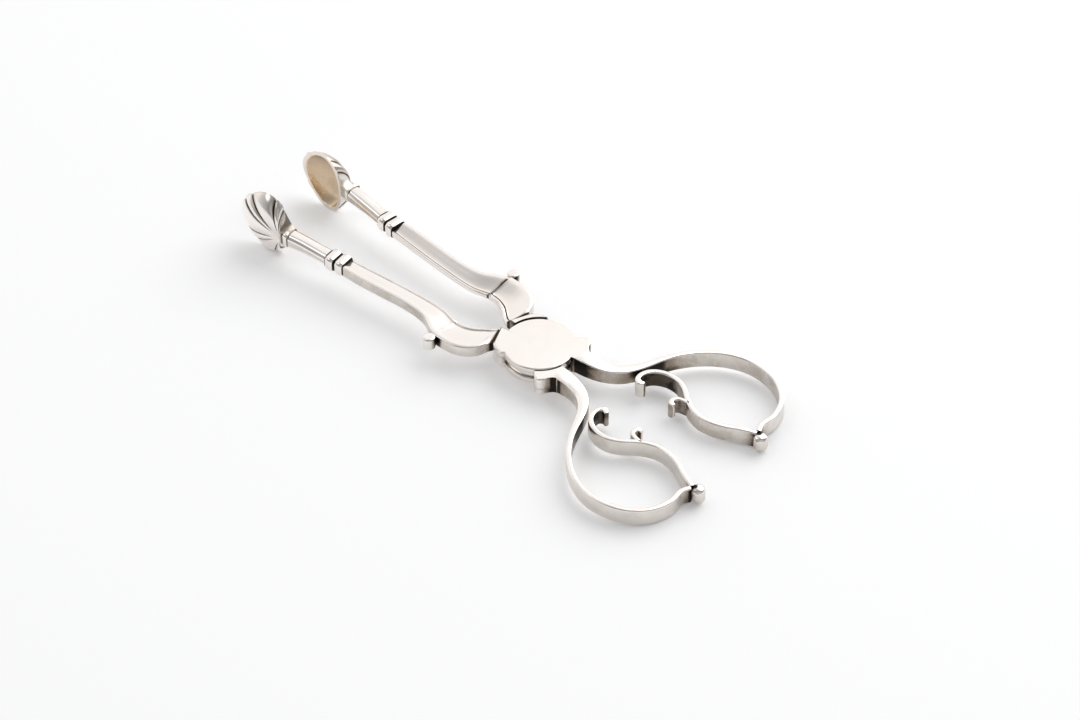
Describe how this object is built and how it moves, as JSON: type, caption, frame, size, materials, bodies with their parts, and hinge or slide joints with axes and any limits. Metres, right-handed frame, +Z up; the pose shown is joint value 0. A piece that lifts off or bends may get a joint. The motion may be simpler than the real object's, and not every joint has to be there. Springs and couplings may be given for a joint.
{
  "type": "sugar nippers",
  "caption": "Scissor sugar nippers with a round box joint, fluted shell bowls at the tips and scrolled finger loops.",
  "frame": {"origin": "on the pivot axis, at the joint's underside", "axes": "+X from the pivot towards the shell bowls, +Z up along the pivot axis, +Y towards the arm of the half that carries the two round plates"},
  "size_m": [0.1232, 0.0496, 0.0146],
  "materials": {
    "silver": "polished cast silver, darkened by tarnish in the grooves",
    "silver_rivet": "polished silver, its spread ends filed flush"
  },
  "bodies": {
    "box_half": {"box_joint": "silver", "pivot_rivet": "silver_rivet", "box_shoulder_scroll": "silver", "box_arm_shaft": "silver", "box_shaft_roll": "silver", "box_collar": "silver", "box_neck": "silver", "box_cuff": "silver", "box_shell": "silver", "box_handle_stem": "silver", "box_finger_loop": "silver", "box_inner_scroll": "silver", "box_thumb_scroll": "silver", "box_loop_knob": "silver"},
    "tongue_half": {"tongue_joint": "silver", "tongue_shoulder_scroll": "silver", "tongue_arm_shaft": "silver", "tongue_shaft_roll": "silver", "tongue_collar": "silver", "tongue_neck": "silver", "tongue_cuff": "silver", "tongue_shell": "silver", "tongue_handle_stem": "silver", "tongue_finger_loop": "silver", "tongue_inner_scroll": "silver", "tongue_thumb_scroll": "silver", "tongue_loop_knob": "silver"}
  },
  "joints": [
    {"name": "scissor_pivot", "type": "hinge", "parent": "box_half", "child": "tongue_half", "pos_m": [0, 0, 0.002], "axis": [0, 0, 1], "range_deg": [-55, 13.3]}
  ]
}
